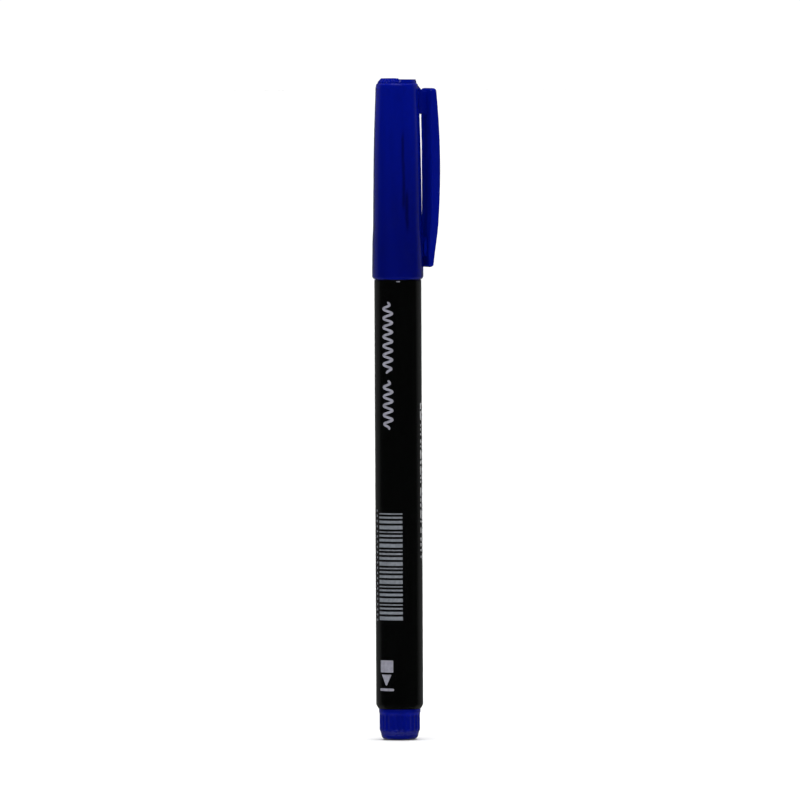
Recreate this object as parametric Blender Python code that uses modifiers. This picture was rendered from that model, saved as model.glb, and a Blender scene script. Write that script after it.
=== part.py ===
"""Fine felt tip marker with its cap on, standing on its end plug.

Metres, +Z up the pen's axis. The origin is the centre of the end plug's flat
face, and the pocket clip points along +X. Sizes below are in millimetres and
are scaled once, where a mesh is made.
"""

import math

import bmesh
import bpy
from mathutils import Matrix, Vector

MM = 0.001
SIDES = 48  # facets round every turned piece: nested pieces share them, so their gaps stay even

# Heights along the pen
PEN_TOP = 139.4
CAP_TOP = 138.35
CAP_MOUTH = 97.05
CAP_FLOOR = 134.8  # underside of the cap's closed end
BARREL_TOP = 96.85
BARREL_END = 6.6
SECTION_TOP = 118.8
NIB_TIP = 124.2
CORE_TOP = 104.4
CORE_END = 5.2
GAP = 0.1  # between faces that butt, and round spigots

# Radii
BARREL_RADIUS = 4.955
BARREL_BORE = 3.8
SPIGOT_RADIUS = BARREL_BORE - GAP
SPIGOT_BORE = 3.22
FILM_RADIUS = SPIGOT_BORE - GAP
FILM_WALL = 0.1
CORE_RADIUS = 2.95
NIB_RADIUS = 1.0
NIB_BORE = 1.1
SECTION_RADIUS = 4.35
NOSE_RADIUS = 2.75
CAP_BORE = 4.55
CAP_MOUTH_RADIUS = 5.4
CAP_WAIST_RADIUS = 5.13  # just above the thicker band at the mouth
CAP_SHOULDER_RADIUS = 4.53  # just below the closed end
VENT_RADIUS = 0.55
INSERT_HOLE = 2.6
INSERT_RADIUS = 4.1

# End plug
PLUG_RADIUS = 4.27
PLUG_COLLAR_RADIUS = 4.38
PLUG_FACE_RADIUS = 3.2
FLUTE_DEPTH = 0.13
FLUTES_LOW, FLUTES_HIGH = 2.3, 5.55

# Cap end insert: one half ribbed, the other smooth
SECTORS = 2
RIB_RISE = 0.25  # how far the ribbed half stands above the smooth one
RIB_CHAMFER = 0.65
RIB_DEPTH = 0.16
FIRST_SECTOR = math.radians(75)

# Pocket clip
CLIP_WIDTH = 5.9
CLIP_FOOT_WIDTH = 4.7
CLIP_FOOT_Z = 99.95
CLIP_CREST_Z = 137.3
CLIP_INNER_X = 6.6
CLIP_BOW = 1.0  # how far the outer face stands out beyond the straight line between its ends
CLIP_EDGE = 0.22
CLIP_PAD_X = 5.5  # the grip pad inside the foot stops just clear of the cap
CLIP_PAD_WIDTH = 2.2
WEB_WIDTH = 1.6
HINGE_X, HINGE_Z = 7.6, 131.1
HINGE_GAP = 0.2

# Breather tube
TUBE_RADIUS = 0.45
TUBE_BORE = 0.25
TUBE_X = -2.45
GROOVE_RADIUS = 0.52

BLUE = (0.012, 0.028, 0.19, 1.0)
BLACK = (0.008, 0.009, 0.009, 1.0)
INK_BLUE = (0.02, 0.03, 0.25, 1.0)
NATURAL = (0.72, 0.74, 0.72, 1.0)
FIBRE = (0.05, 0.07, 0.33, 1.0)
CLEAR_FILM = (0.7, 0.74, 0.78, 1.0)


# Collections and materials


def clear_scene():
    for obj in list(bpy.data.objects):
        bpy.data.objects.remove(obj, do_unlink=True)


def new_collection(name, hidden=False):
    collection = bpy.data.collections.new(name)
    bpy.context.scene.collection.children.link(collection)
    collection.hide_render = hidden
    return collection


def plastic(name, colour, roughness):
    material = bpy.data.materials.new(name)
    material.use_nodes = True
    shader = material.node_tree.nodes["Principled BSDF"]
    shader.inputs["Base Color"].default_value = colour
    shader.inputs["Roughness"].default_value = roughness
    shader.inputs["Metallic"].default_value = 0.0
    return material


# Modelling helpers


def settle(obj):
    """Applies the object's modifiers, and shades it smooth with its edges sharp."""
    bpy.context.view_layer.update()
    graph = bpy.context.evaluated_depsgraph_get()
    mesh = bpy.data.meshes.new_from_object(obj.evaluated_get(graph))
    mesh.name = obj.name
    obj.modifiers.clear()
    obj.data = mesh
    mesh.shade_smooth()
    mesh.set_sharp_from_angle(angle=math.radians(30))
    return obj


def turned(name, outline, material, closed=False, at=(0.0, 0.0)):
    """Turns (radius, height) points about Z. They run down the outer side, and closed joins a bore's ends."""
    count = len(outline)
    edges = [(i, i + 1) for i in range(count - 1)]
    if closed:
        edges.append((count - 1, 0))
    mesh = bpy.data.meshes.new(name)
    mesh.from_pydata([(r * MM, 0.0, z * MM) for r, z in outline], edges, [])
    mesh.materials.append(material)
    obj = bpy.data.objects.new(name, mesh)
    obj.location = (at[0] * MM, at[1] * MM, 0.0)
    PARTS.objects.link(obj)
    screw = obj.modifiers.new("Turn", "SCREW")
    screw.steps = screw.render_steps = SIDES
    screw.use_merge_vertices = True
    screw.merge_threshold = 1e-6
    return settle(obj)


def flat_solid(name, outline, thickness, turn, collection, material=None):
    """A closed outline extruded to its thickness, with its plane placed by turn."""
    curve = bpy.data.curves.new(name, "CURVE")
    curve.dimensions = "2D"
    curve.fill_mode = "BOTH"
    curve.extrude = thickness * MM / 2
    spline = curve.splines.new("POLY")
    spline.points.add(len(outline) - 1)
    for point, (a, b) in zip(spline.points, outline):
        point.co = (a * MM, b * MM, 0.0, 1.0)
    spline.use_cyclic_u = True
    flat = bpy.data.objects.new(name + "_outline", curve)
    flat.matrix_world = turn
    collection.objects.link(flat)
    bpy.context.view_layer.update()
    graph = bpy.context.evaluated_depsgraph_get()
    mesh = bpy.data.meshes.new_from_object(flat.evaluated_get(graph))
    shape = bmesh.new()
    shape.from_mesh(mesh)
    bmesh.ops.remove_doubles(shape, verts=shape.verts, dist=1e-7)
    bmesh.ops.recalc_face_normals(shape, faces=shape.faces)
    shape.to_mesh(mesh)
    shape.free()
    mesh.materials.clear()
    if material:
        mesh.materials.append(material)
    obj = bpy.data.objects.new(name, mesh)
    obj.matrix_world = flat.matrix_world
    collection.objects.link(obj)
    bpy.data.objects.remove(flat, do_unlink=True)
    return obj


def block(name, low, high):
    """A box cutter between two corners."""
    mesh = bpy.data.meshes.new(name)
    shape = bmesh.new()
    bmesh.ops.create_cube(shape, size=1.0)
    size = Vector(high) - Vector(low)
    middle = (Vector(high) + Vector(low)) / 2
    bmesh.ops.scale(shape, vec=size * MM, verts=shape.verts)
    bmesh.ops.translate(shape, vec=middle * MM, verts=shape.verts)
    shape.to_mesh(mesh)
    shape.free()
    obj = bpy.data.objects.new(name, mesh)
    CUTTERS.objects.link(obj)
    return as_cutter(obj)


def as_cutter(obj):
    obj.hide_render = True
    obj.display_type = "WIRE"
    return obj


def combine(obj, other, operation):
    boolean = obj.modifiers.new(operation.title(), "BOOLEAN")
    boolean.operation = operation
    boolean.solver = "EXACT"
    boolean.object = other
    return settle(obj)


def arc(centre, radius, start, end, steps):
    """Points along an arc, its angles in degrees."""
    angles = [math.radians(start + (end - start) * i / steps) for i in range(steps + 1)]
    return [(centre[0] + radius * math.cos(a), centre[1] + radius * math.sin(a)) for a in angles]


def smooth_step(value):
    value = min(max(value, 0.0), 1.0)
    return value * value * (3 - 2 * value)


SIDE_VIEW = Matrix.Rotation(math.radians(90), 4, "X")  # an outline's (x, y) stand at (X, Z)
FRONT_VIEW = Matrix(((0, 0, 1, 0), (1, 0, 0, 0), (0, 1, 0, 0), (0, 0, 0, 1)))  # (x, y) stand at (Y, Z)


# Barrel and what it holds


def make_barrel():
    rim = 0.25
    outline = [
        (BARREL_RADIUS - rim, BARREL_TOP),
        (BARREL_RADIUS, BARREL_TOP - rim),
        (BARREL_RADIUS, BARREL_END + 0.8),
        (BARREL_RADIUS - 0.45, BARREL_END),
        (BARREL_BORE + 0.15, BARREL_END),
        (BARREL_BORE, BARREL_END + 0.2),
        (BARREL_BORE, BARREL_TOP),
    ]
    return turned("barrel", outline, BLACK_PLASTIC, closed=True)


def make_end_plug():
    spigot_top, cavity_floor = 13.0, 5.0
    foot_round = arc((PLUG_FACE_RADIUS, 0.58), 0.58, 0, -90, 4)
    outline = [
        (0.0, cavity_floor),
        (SPIGOT_BORE, cavity_floor),
        (SPIGOT_BORE, spigot_top),
        (SPIGOT_RADIUS - 0.2, spigot_top),
        (SPIGOT_RADIUS, spigot_top - 0.5),
        (SPIGOT_RADIUS, BARREL_END - GAP),
        (PLUG_COLLAR_RADIUS, BARREL_END - GAP),
        (PLUG_COLLAR_RADIUS, FLUTES_HIGH + 0.25),
        (PLUG_RADIUS, FLUTES_HIGH + 0.1),
        (PLUG_RADIUS, FLUTES_HIGH),
        (PLUG_RADIUS, FLUTES_LOW),
        (3.87, 1.4),
        *foot_round,
        (0.0, 0.0),
    ]
    plug = turned("end_plug", outline, BLUE_PLASTIC)
    for vertex in plug.data.vertices:
        x, y, z = vertex.co / MM
        facet = round(math.atan2(y, x) / (math.tau / SIDES))
        on_skin = abs(math.hypot(x, y) - PLUG_RADIUS) < 0.01
        if facet % 2 and on_skin and FLUTES_LOW - 0.01 < z < FLUTES_HIGH + 0.01:
            vertex.co.x *= 1 - FLUTE_DEPTH / PLUG_RADIUS
            vertex.co.y *= 1 - FLUTE_DEPTH / PLUG_RADIUS
    return plug


def make_front_section():
    snap_low, snap_high, snap_radius = 100.2, 100.9, 4.45
    outline = [
        (1.55, SECTION_TOP),
        (1.95, SECTION_TOP - 0.25),
        (2.1, SECTION_TOP - 1.6),
        (NOSE_RADIUS - 0.2, SECTION_TOP - 2.2),
        (NOSE_RADIUS, SECTION_TOP - 2.6),
        (NOSE_RADIUS, 112.9),
        (2.95, 112.5),
        (4.15, 109.4),
        (SECTION_RADIUS, 108.4),
        (SECTION_RADIUS, snap_high + 0.4),
        (snap_radius, snap_high),
        (snap_radius, snap_low),
        (SECTION_RADIUS, snap_low - 0.4),
        (SECTION_RADIUS, BARREL_TOP + GAP),
        (SPIGOT_RADIUS, BARREL_TOP + GAP),
        (SPIGOT_RADIUS, 88.0),
        (SPIGOT_RADIUS - 0.2, 87.6),
        (SPIGOT_BORE, 87.6),
        (SPIGOT_BORE, CORE_TOP + GAP),
        (NIB_BORE, CORE_TOP + 1.2),
        (NIB_BORE, SECTION_TOP),
    ]
    return turned("front_section", outline, BLACK_PLASTIC, closed=True)


def make_writing_nib():
    root = 98.8
    outline = [
        (0.0, NIB_TIP),
        (0.3, NIB_TIP - 0.06),
        (0.5, NIB_TIP - 0.3),
        (0.62, NIB_TIP - 0.8),
        (NIB_RADIUS, NIB_TIP - 3.4),
        (NIB_RADIUS, root + 0.4),
        (NIB_RADIUS - 0.3, root),
        (0.0, root),
    ]
    return turned("writing_nib", outline, NIB_FIBRE)


def make_reservoir_core():
    socket_floor = 98.6
    outline = [
        (0.0, socket_floor),
        (NIB_BORE, socket_floor),
        (NIB_BORE, CORE_TOP),
        (CORE_RADIUS, CORE_TOP),
        (CORE_RADIUS, CORE_END),
        (0.0, CORE_END),
    ]
    core = turned("reservoir_core", outline, CORE_FIBRE)
    channel = arc((TUBE_X, 0.0), GROOVE_RADIUS, 90, -90, 8)
    channel += [(-2 * CORE_RADIUS, -GROOVE_RADIUS), (-2 * CORE_RADIUS, GROOVE_RADIUS)]
    groove = flat_solid("tube_groove", channel, 2 * CORE_TOP + 20, Matrix.Identity(4), CUTTERS)
    return combine(core, as_cutter(groove), "DIFFERENCE")


def make_reservoir_film():
    top, end = CORE_TOP - 0.4, CORE_END + 0.2
    outline = [
        (FILM_RADIUS, top),
        (FILM_RADIUS, end),
        (FILM_RADIUS - FILM_WALL, end),
        (FILM_RADIUS - FILM_WALL, top),
    ]
    return turned("reservoir_film", outline, FILM_PLASTIC, closed=True)


def make_breather_tube():
    top, end = CORE_TOP - 0.2, CORE_END + 1.0
    outline = [(TUBE_RADIUS, top), (TUBE_RADIUS, end), (TUBE_BORE, end), (TUBE_BORE, top)]
    return turned("breather_tube", outline, NATURAL_PLASTIC, closed=True, at=(TUBE_X, 0.0))


# Cap and what it holds


def cap_wall_outline():
    lip = arc((CAP_MOUTH_RADIUS - 0.75, CAP_MOUTH + 0.75), 0.75, 0, -90, 5)
    band_low, band_high = 104.0, 108.5
    band = []
    for i in range(5):
        share = i / 4
        radius = CAP_WAIST_RADIUS + 0.03 + (5.33 - CAP_WAIST_RADIUS - 0.03) * smooth_step(share)
        band.append((radius, band_high + (band_low - band_high) * share))
    outer = [
        (CAP_SHOULDER_RADIUS - 0.43, CAP_TOP),
        (CAP_SHOULDER_RADIUS - 0.16, CAP_TOP - 0.2),
        (CAP_SHOULDER_RADIUS, CAP_TOP - 1.1),
        (4.67, 133.5),
        (4.82, 129.0),
        (4.96, 122.5),
        (5.07, 116.0),
        (CAP_WAIST_RADIUS, 110.5),
        *band,
        (CAP_MOUTH_RADIUS, 99.6),
        *lip,
    ]
    inner = [
        (CAP_BORE, CAP_MOUTH),
        (CAP_BORE, 99.4),
        (CAP_BORE + 0.08, 99.8),
        (CAP_BORE + 0.08, 101.3),
        (CAP_BORE - 0.04, 101.8),
        (CAP_BORE - 0.05, 108.8),
        (4.15, 111.5),
        (3.9, 118.0),
        (3.75, CAP_FLOOR),
        (INSERT_HOLE, CAP_FLOOR),
        (INSERT_HOLE, CAP_TOP),
    ]
    return outer + inner


def clip_outer_x(z):
    """The clip's bowed outer face."""
    low, high = (7.3, 101.0), (7.75, 136.6)
    share = (z - low[1]) / (high[1] - low[1])
    return low[0] + (high[0] - low[0]) * share + CLIP_BOW * 4 * share * (1 - share)


def make_clip_blank():
    """The whole clip, foot to crest, before it is parted at its hinge line."""
    outer_low, outer_high, steps = 101.0, 136.6, 12
    outer = []
    for i in range(steps + 1):
        z = outer_low + (outer_high - outer_low) * i / steps
        outer.append((clip_outer_x(z), z))
    side = [
        (6.4, CLIP_FOOT_Z),
        (6.75, CLIP_FOOT_Z),
        (7.15, CLIP_FOOT_Z + 0.3),
        *outer,
        (7.6, 137.05),
        (7.35, CLIP_CREST_Z),
        (6.95, CLIP_CREST_Z),
        (6.65, 137.05),
        (6.55, 136.6),
        (6.5, 131.5),
        (CLIP_INNER_X, 125.0),
        (CLIP_INNER_X, 117.0),
        (6.55, 112.5),
        (6.4, 109.8),
        (6.2, 107.6),
        (6.15, 105.5),
        (6.15, 100.6),
    ]
    blank = flat_solid("clip_blank", side, 2 * CLIP_WIDTH, SIDE_VIEW, CUTTERS, BLUE_PLASTIC)
    half, half_foot, corner, head_corner = CLIP_WIDTH / 2, CLIP_FOOT_WIDTH / 2, 0.6, 0.9
    right = arc((half - head_corner, CLIP_CREST_Z - 0.8), head_corner, 75, 0, 4)
    right += [(half, 108.0), (half_foot + 0.1, 102.5)]
    right += arc((half_foot - corner, CLIP_FOOT_Z + corner), corner, 0, -75, 4)
    front = right + [(-y, z) for y, z in reversed(right)]
    width = flat_solid("clip_width", front, 30, FRONT_VIEW, CUTTERS)
    combine(blank, as_cutter(width), "INTERSECT")
    bevel = blank.modifiers.new("Edges", "BEVEL")
    bevel.width = CLIP_EDGE * MM
    bevel.segments = 2
    bevel.limit_method = "ANGLE"
    bevel.angle_limit = math.radians(35)
    settle(blank)
    pad = [(6.6, 101.2), (6.6, 106.6), (5.8, 105.4), (CLIP_PAD_X, 104.6), (CLIP_PAD_X, 102.6), (5.8, 101.9)]
    pad_solid = as_cutter(flat_solid("clip_pad", pad, CLIP_PAD_WIDTH, SIDE_VIEW, CUTTERS))
    return as_cutter(combine(blank, pad_solid, "UNION"))


def part_of_blank(name, blank, low_z, high_z, collection):
    obj = bpy.data.objects.new(name, blank.data.copy())
    obj.matrix_world = blank.matrix_world
    collection.objects.link(obj)
    keep = block(name + "_keep", (-20, -20, low_z), (20, 20, high_z))
    return combine(obj, keep, "INTERSECT")


def make_cap_body(blank):
    cap = turned("cap_body", cap_wall_outline(), BLUE_PLASTIC, closed=True)
    web = [
        (4.0, 132.1),
        (7.2, 131.4),
        (7.2, 136.9),
        (6.3, 136.85),
        (5.95, 137.0),
        (4.45, 138.1),
        (4.0, 138.1),
    ]
    web_solid = as_cutter(flat_solid("clip_web", web, WEB_WIDTH, SIDE_VIEW, CUTTERS))
    head = part_of_blank("clip_head", blank, HINGE_Z + HINGE_GAP / 2, 200, CUTTERS)
    combine(cap, web_solid, "UNION")
    return combine(cap, as_cutter(head), "UNION")


def make_pocket_clip(blank):
    clip = part_of_blank("pocket_clip", blank, 0, HINGE_Z - HINGE_GAP / 2, PARTS)
    hinge = Vector((HINGE_X, 0.0, HINGE_Z)) * MM
    clip.data.transform(Matrix.Translation(-hinge) @ clip.matrix_world)
    clip.matrix_world = Matrix.Translation(hinge)
    return clip


def make_cap_inner_liner():
    outer, inner, end, floor = 3.6, NOSE_RADIUS + 0.15, 113.4, 127.0
    outline = [
        (0.0, floor + 0.8),
        (inner, floor + 0.8),
        (inner, CAP_FLOOR - 0.2),
        (outer, CAP_FLOOR - 0.2),
        (outer, end + 0.5),
        (outer - 0.25, end),
        (inner + 0.2, end),
        (inner, end + 0.5),
        (inner, floor),
        (0.0, floor),
    ]
    return turned("cap_inner_liner", outline, NATURAL_PLASTIC)


def make_cap_end_insert():
    """A low plug with a vent through it. Its top ring is lofted round, ribbed and smooth by turns."""
    smooth_top = PEN_TOP - RIB_RISE
    base = CAP_TOP + GAP
    pad_inner = 2.2
    outline = [
        (VENT_RADIUS, smooth_top - 0.4),
        (1.3, smooth_top - 0.4),
        (1.6, smooth_top),
        (pad_inner, smooth_top),
        (INSERT_RADIUS - 0.1, smooth_top),
        (INSERT_RADIUS - 0.04, base + 0.3),
        (INSERT_RADIUS, base),
        (INSERT_HOLE - GAP, base),
        (INSERT_HOLE - GAP, 135.4),
        (INSERT_HOLE - GAP - 0.2, 135.2),
        (VENT_RADIUS, 135.2),
    ]
    insert = turned("cap_end_insert", outline, BLUE_PLASTIC, closed=True)
    for vertex in insert.data.vertices:
        x, y, z = vertex.co / MM
        radius, angle = math.hypot(x, y), math.atan2(y, x)
        turns = ((angle - FIRST_SECTOR) / math.tau * SECTORS) % SECTORS
        if int(turns + 1e-4) % 2:
            continue
        facet = round(angle / (math.tau / SIDES))
        valley = RIB_DEPTH if facet % 2 else 0.0
        if abs(radius - (INSERT_RADIUS - 0.1)) < 0.02 and z > smooth_top - 0.01:
            move_ring(vertex, radius - RIB_CHAMFER - valley, PEN_TOP)
        elif abs(radius - pad_inner) < 0.01:
            move_ring(vertex, radius, PEN_TOP)
        elif abs(radius - (INSERT_RADIUS - 0.04)) < 0.02:
            move_ring(vertex, radius - valley, base + 0.35)
    return insert


def move_ring(vertex, radius, height):
    """Puts a vertex at another radius and height on its own spoke."""
    spoke = Vector((vertex.co.x, vertex.co.y, 0.0)).normalized() * radius * MM
    vertex.co = (spoke.x, spoke.y, height * MM)


clear_scene()
PARTS = new_collection("felt_tip_marker")
CUTTERS = new_collection("cutters", hidden=True)
BLUE_PLASTIC = plastic("blue_gloss_plastic", BLUE, 0.22)
BLACK_PLASTIC = plastic("black_plastic", BLACK, 0.3)
NATURAL_PLASTIC = plastic("natural_plastic", NATURAL, 0.45)
FILM_PLASTIC = plastic("clear_film", CLEAR_FILM, 0.15)
CORE_FIBRE = plastic("inked_fibre", FIBRE, 0.95)
NIB_FIBRE = plastic("nib_fibre", INK_BLUE, 0.8)

make_barrel()
make_end_plug()
make_front_section()
make_writing_nib()
make_reservoir_core()
make_reservoir_film()
make_breather_tube()
clip_blank = make_clip_blank()
make_cap_body(clip_blank)
make_pocket_clip(clip_blank)
make_cap_inner_liner()
make_cap_end_insert()
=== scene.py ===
"""Looks of the capped felt tip marker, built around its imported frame.

Sizes are in millimetres: a piece's outer sizes come from the frame, small ones
are named here, and all are scaled once, where a mesh is made. +Z runs up the
pen's axis from the end plug's face, and the pocket clip points along +X.
"""

import math
import random

import bmesh
import bpy
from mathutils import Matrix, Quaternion, Vector


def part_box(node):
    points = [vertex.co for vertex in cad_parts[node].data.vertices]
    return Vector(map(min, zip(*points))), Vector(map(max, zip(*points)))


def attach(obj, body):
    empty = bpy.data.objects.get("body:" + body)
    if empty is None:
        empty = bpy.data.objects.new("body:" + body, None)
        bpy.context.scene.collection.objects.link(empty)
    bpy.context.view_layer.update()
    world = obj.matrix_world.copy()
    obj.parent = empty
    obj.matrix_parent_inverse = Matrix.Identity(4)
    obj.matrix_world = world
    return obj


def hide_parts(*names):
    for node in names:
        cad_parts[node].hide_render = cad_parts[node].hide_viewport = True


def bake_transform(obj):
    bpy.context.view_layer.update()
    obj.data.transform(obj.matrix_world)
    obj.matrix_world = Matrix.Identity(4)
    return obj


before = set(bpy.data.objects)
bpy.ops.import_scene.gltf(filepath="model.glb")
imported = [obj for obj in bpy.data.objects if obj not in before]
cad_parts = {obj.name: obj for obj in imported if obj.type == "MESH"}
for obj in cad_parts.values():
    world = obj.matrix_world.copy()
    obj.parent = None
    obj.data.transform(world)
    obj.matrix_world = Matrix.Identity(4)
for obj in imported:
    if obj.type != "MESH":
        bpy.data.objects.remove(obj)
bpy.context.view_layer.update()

MM = 0.001
RING = 192  # facets round a turned piece
ROUND_STEPS = 6  # facets round a small edge
GAP = 0.1  # between pieces of the pen that are pressed together


def extent(node):
    """A CAD node's lowest and highest corner, in millimetres."""
    low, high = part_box(node)
    return low / MM, high / MM


BARREL_LOW, BARREL_HIGH = extent("barrel")
PLUG_HIGH = extent("end_plug")[1]
SECTION_LOW, SECTION_HIGH = extent("front_section")
NIB_LOW, NIB_HIGH = extent("writing_nib")
CORE_HIGH = extent("reservoir_core")[1]
CAP_LOW, CAP_HIGH = extent("cap_body")
LINER_LOW, LINER_HIGH = extent("cap_inner_liner")
INSERT_LOW, INSERT_HIGH = extent("cap_end_insert")
CLIP_LOW, CLIP_HIGH = extent("pocket_clip")

# Pen
BARREL_RADIUS = BARREL_HIGH.x
BARREL_BORE = 3.8
SPIGOT_RADIUS = BARREL_BORE - GAP
SPIGOT_BORE = 3.22
PLUG_RADIUS = 4.27
PLUG_FACE_RADIUS = 3.2
FLUTES = 24
FLUTE_DEPTH = 0.19
FLUTES_LOW, FLUTES_HIGH = 2.2, 5.5
SECTION_RADIUS = 4.35
NOSE_RADIUS = 2.75
NIB_RADIUS = NIB_HIGH.x
NIB_BORE = NIB_RADIUS + GAP

# Cap
MOUTH_RADIUS = -CAP_LOW.x
MOUTH, CAP_TOP = CAP_LOW.z, CAP_HIGH.z
WAIST_RADIUS, WAIST_HEIGHT = 5.13, 110.5
SHOULDER_RADIUS = 4.53
BAND_RADIUS, BAND_LOW, BAND_HIGH = 5.33, 104.0, 108.5
CAP_BORE = 4.55
CAP_FLOOR = 134.8
INSERT_HOLE = 2.6

# Cap end insert: one half ribbed, the other smooth
INSERT_RADIUS = INSERT_HIGH.x
RIBBED_FROM = math.radians(75)
RIB_PITCH = math.radians(15)
RIB_DEPTH = 0.18
VENT_RADIUS = 0.55

# Pocket clip
CLIP_HALF = CLIP_HIGH.y
CLIP_FOOT_HALF = 2.35
# The rounded foot ends a little lower than the CAD clip's
CLIP_FOOT, CLIP_CREST = CLIP_LOW.z - 0.4, 137.3
CLIP_END_ROUND = 0.45

# Prints are laid out from the line on the barrel that faces the camera
CAMERA_AZIMUTH = math.radians(-21)
PRINT_LINE = CAMERA_AZIMUTH - math.radians(90)
PRINT_LIFT = 0.012  # above the barrel
PRINT_ROOT = 0.03  # below its surface
PRINT_LANE = 0.3  # widest face across a stroke


# Mesh helpers


def smooth_step(value):
    """Eases from 0 to 1 as the value goes from 0 to 1."""
    value = min(max(value, 0.0), 1.0)
    return value * value * (3 - 2 * value)


def spaced(start, end, count):
    """Evenly spaced numbers from start to end, with both of them in."""
    return [start + (end - start) * i / (count - 1) for i in range(count)]


def rounded(corners):
    """An outline through corners of (radius, height) or (radius, height, rounding)."""
    nearly_straight = math.radians(89.9)
    points = []
    for index, corner in enumerate(corners):
        here = Vector(corner[:2])
        if len(corner) == 2:
            points.append((here.x, here.y))
            continue
        before = (Vector(corners[index - 1][:2]) - here).normalized()
        after = (Vector(corners[(index + 1) % len(corners)][:2]) - here).normalized()
        half = before.angle(after) / 2
        if half > nearly_straight:
            points += [(here.x, here.y)] * (ROUND_STEPS + 1)
            continue
        centre = here + (before + after).normalized() * corner[2] / math.sin(half)
        first = here + before * corner[2] / math.tan(half) - centre
        turn = math.copysign(math.pi - 2 * half, before.cross(after))
        start = math.atan2(first.y, first.x)
        for step in range(ROUND_STEPS + 1):
            angle = start - turn * step / ROUND_STEPS
            points.append((centre.x + corner[2] * math.cos(angle), centre.y + corner[2] * math.sin(angle)))
    return points


def arc(centre, radius, start, end, steps):
    """Points along an arc, its angles in degrees."""
    angles = [math.radians(start + (end - start) * i / steps) for i in range(steps + 1)]
    return [(centre[0] + radius * math.cos(a), centre[1] + radius * math.sin(a)) for a in angles]


def add_skin(shape, rings, closed=False, capped=False):
    """Joins rings of points in millimetres, each to the next, in one bmesh."""
    made = [[shape.verts.new(Vector(point) * MM) for point in ring] for ring in rings]
    pairs = list(zip(made, made[1:]))
    if closed:
        pairs.append((made[-1], made[0]))
    for first, second in pairs:
        for i in range(len(first)):
            j = (i + 1) % len(first)
            shape.faces.new((first[i], first[j], second[j], second[i]))
    if capped:
        shape.faces.new(made[0])
        shape.faces.new(made[-1])


def linked(name, data):
    """A new object in the scene, for a mesh, a light or a camera."""
    obj = bpy.data.objects.new(name, data)
    bpy.context.scene.collection.objects.link(obj)
    return obj


def finish_mesh(name, shape, look, sharp=40):
    """Turns a bmesh into a smooth-shaded object; edges over sharp degrees stay sharp."""
    bmesh.ops.remove_doubles(shape, verts=shape.verts, dist=1e-7)
    bmesh.ops.recalc_face_normals(shape, faces=shape.faces)
    mesh = bpy.data.meshes.new(name)
    shape.to_mesh(mesh)
    shape.free()
    mesh.materials.append(look)
    mesh.shade_smooth()
    mesh.set_sharp_from_angle(angle=math.radians(sharp))
    return linked(name, mesh)


def turned(name, outline, look, closed=True, steps=RING, moved=None):
    """Turns an outline about the pen's axis. moved(index, angle) may give other points round it."""
    rings = []
    for index, point in enumerate(outline):
        ring = []
        for i in range(steps):
            angle = math.tau * i / steps
            radius, height = moved(index, angle) if moved else point
            ring.append((radius * math.cos(angle), radius * math.sin(angle), height))
        rings.append(ring)
    shape = bmesh.new()
    add_skin(shape, rings, closed=closed)
    return finish_mesh(name, shape, look)


def section(low_x, high_x, half, inner_round, outer_round, crown, height):
    """A rounded rectangle across the clip, its outer side crowned, as a ring of points."""
    def outer(y):
        return high_x - crown * (y / half) ** 2

    ring = [(outer(y), y) for y in spaced(-half + outer_round, half - outer_round, 9)]
    corner_x = outer(half - outer_round) - outer_round
    ring += arc((corner_x, half - outer_round), outer_round, 0, 90, ROUND_STEPS)[1:]
    inner_x, inner_y = low_x + inner_round, half - inner_round
    ring += arc((inner_x, inner_y), inner_round, 90, 180, ROUND_STEPS)
    ring += [(low_x, y) for y in spaced(inner_y, -inner_y, 7)[1:-1]]
    ring += arc((inner_x, -inner_y), inner_round, 180, 270, ROUND_STEPS)
    ring += arc((corner_x, -half + outer_round), outer_round, 270, 360, ROUND_STEPS)[:-1]
    return [(x, y, height) for x, y in ring]


# Materials


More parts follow.
